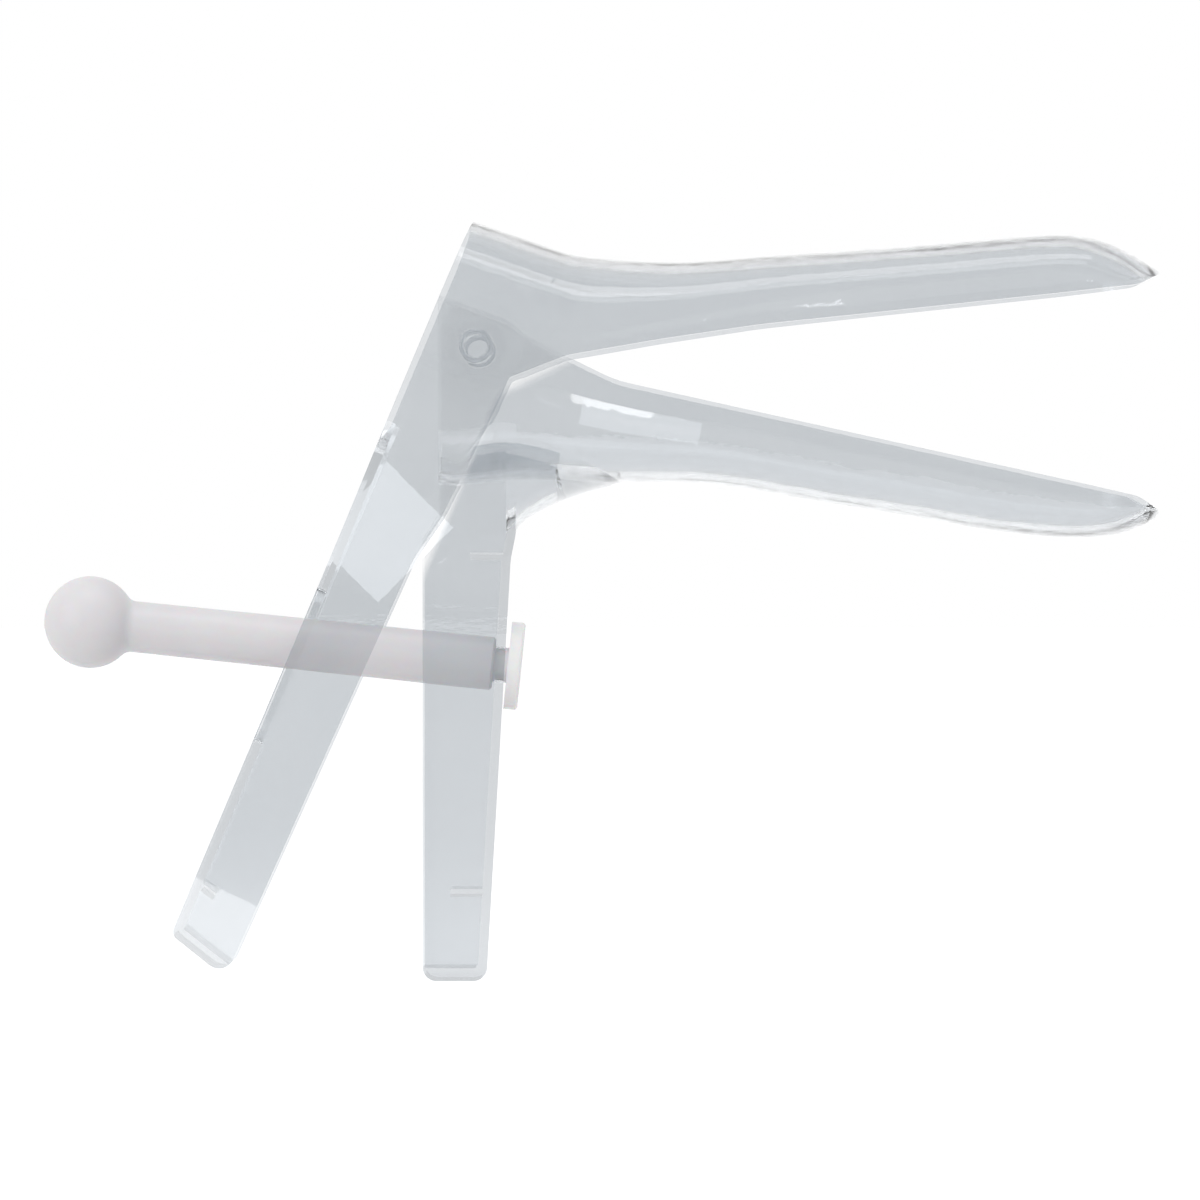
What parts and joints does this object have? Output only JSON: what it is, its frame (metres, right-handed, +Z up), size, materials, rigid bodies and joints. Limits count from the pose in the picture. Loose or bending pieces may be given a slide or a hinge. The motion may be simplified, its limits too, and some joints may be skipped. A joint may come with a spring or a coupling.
{
  "type": "bivalve speculum",
  "caption": "Disposable clear plastic bivalve speculum: two hinged duck-bill blades, each with its own channel handle, held open by a white rod with a ball end.",
  "frame": {"origin": "on the hinge axis, midway between the two ears, in the middle of the throat", "axes": "+X along the blades to their tips, +Y across the instrument along the hinge axis, +Z up, away from the rear handle's foot"},
  "size_m": [0.1782, 0.0378, 0.1211],
  "materials": {
    "clear_plastic": "polished clear moulding",
    "white_plastic": "satin white moulding"
  },
  "bodies": {
    "lower": {"lower_valve": "clear_plastic"},
    "upper": {"upper_valve": "clear_plastic"},
    "rod": {"locking_rod": "white_plastic", "rod_end_cap": "white_plastic"}
  },
  "joints": [
    {"name": "blade_hinge", "type": "hinge", "parent": "lower", "child": "upper", "pos_m": [0, 0, 0], "axis": [0, -1, 0], "range_deg": [-17.5, 19.5]},
    {"name": "rod_turn", "type": "hinge", "parent": "lower", "child": "rod", "pos_m": [0.00443, 0, -0.0506], "axis": [-0.9947, 0, 0.1028], "continuous": true}
  ]
}
